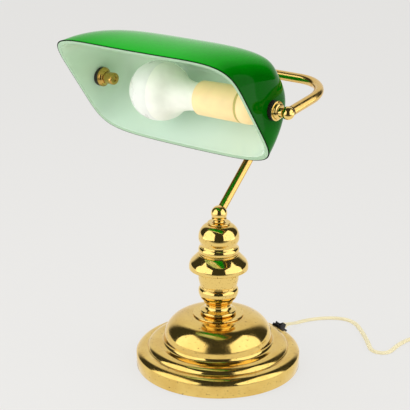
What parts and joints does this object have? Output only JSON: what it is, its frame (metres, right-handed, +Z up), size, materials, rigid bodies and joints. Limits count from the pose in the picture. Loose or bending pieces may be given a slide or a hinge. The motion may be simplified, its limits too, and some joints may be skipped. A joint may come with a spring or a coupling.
{
  "type": "bankers lamp",
  "caption": "Table lamp with a tilting trough shade of green cased glass in a bent brass yoke, a swivelling C-shaped arm and a stepped round base with a rocker switch.",
  "frame": {"origin": "middle of the underside of the felt under the base", "axes": "+Z up along the column, +X along the shade towards the lampholder, -Y to the front, where the shade opens"},
  "size_m": [0.3697, 0.393, 0.3669],
  "materials": {
    "felt": "dense dark green felt",
    "zinc_steel": "zinc plated",
    "cast_weight": "as cast",
    "lacquered_brass": "spun, lacquered and lightly pitted",
    "turned_brass": "turned and polished",
    "polished_brass": "mirror polished",
    "raw_brass": "as machined",
    "black_rubber": "matte",
    "green_glass": "green outside over white opal inside, glossy",
    "cream_plastic": "satin",
    "olive_plastic": "satin",
    "porcelain": "unglazed",
    "nickel_cap": "nickel plated",
    "black_plastic": "glossy",
    "white_plastic": "satin",
    "board": "bare",
    "opal_bulb": "frosted opal",
    "cream_flex": "soft sheen"
  },
  "bodies": {
    "base": {"felt_pad": "felt", "base_plate": "zinc_steel", "base_weight": "cast_weight", "base_cover": "lacquered_brass", "rod_nut": "raw_brass", "rod_washer": "zinc_steel", "column_rod": "raw_brass", "spacer_tube": "zinc_steel", "foot_disc": "turned_brass", "foot_collar": "turned_brass", "lower_cup": "turned_brass", "column_band": "turned_brass", "column_skirt": "turned_brass", "upper_bead": "turned_brass", "column_cap": "turned_brass", "switch_body": "black_plastic", "switch_tabs": "raw_brass", "base_lead": "cream_flex", "column_lead": "cream_flex", "cord_relief": "cream_flex", "power_cord": "cream_flex", "cord_coil": "cream_flex", "cord_tie": "black_plastic", "plug_body": "cream_flex", "plug_pins": "zinc_steel"},
    "head": {"swivel_stud": "polished_brass", "swivel_ring": "zinc_steel", "column_ball": "polished_brass", "arm_tube": "polished_brass", "yoke_hub": "polished_brass", "yoke_tube": "polished_brass", "left_ball": "polished_brass", "right_ball": "polished_brass", "left_nipple": "raw_brass", "right_nipple": "raw_brass", "left_cup": "polished_brass", "right_cup": "polished_brass", "left_inner_cup": "polished_brass", "right_inner_cup": "polished_brass", "left_knob": "polished_brass", "holder_cap": "cream_plastic", "holder_ring": "olive_plastic", "holder_sleeve": "cream_plastic", "holder_core": "porcelain", "holder_thread": "raw_brass", "holder_contact": "raw_brass", "bulb_cap": "nickel_cap", "bulb_insulator": "black_plastic", "bulb_tip": "raw_brass", "bulb_housing": "white_plastic", "bulb_board": "board", "bulb_globe": "opal_bulb", "head_lead": "cream_flex"},
    "shade": {"shade_glass": "green_glass", "left_grommet": "black_rubber", "right_grommet": "black_rubber", "left_inner_pad": "black_rubber", "right_inner_pad": "black_rubber"},
    "rocker": {"switch_rocker": "black_plastic"}
  },
  "joints": [
    {"name": "head_swivel", "type": "hinge", "parent": "base", "child": "head", "pos_m": [0, 0, 0.1612], "axis": [0, 0, 1], "range_deg": [-90, 90]},
    {"name": "shade_tilt", "type": "hinge", "parent": "head", "child": "shade", "pos_m": [0, -0.062, 0.311], "axis": [1, 0, 0], "range_deg": [-30, 54]},
    {"name": "switch_rock", "type": "hinge", "parent": "base", "child": "rocker", "pos_m": [0.02181, 0.08141, 0.01751], "axis": [0.204, 0.7612, -0.6157], "range_deg": [0, 22]}
  ]
}
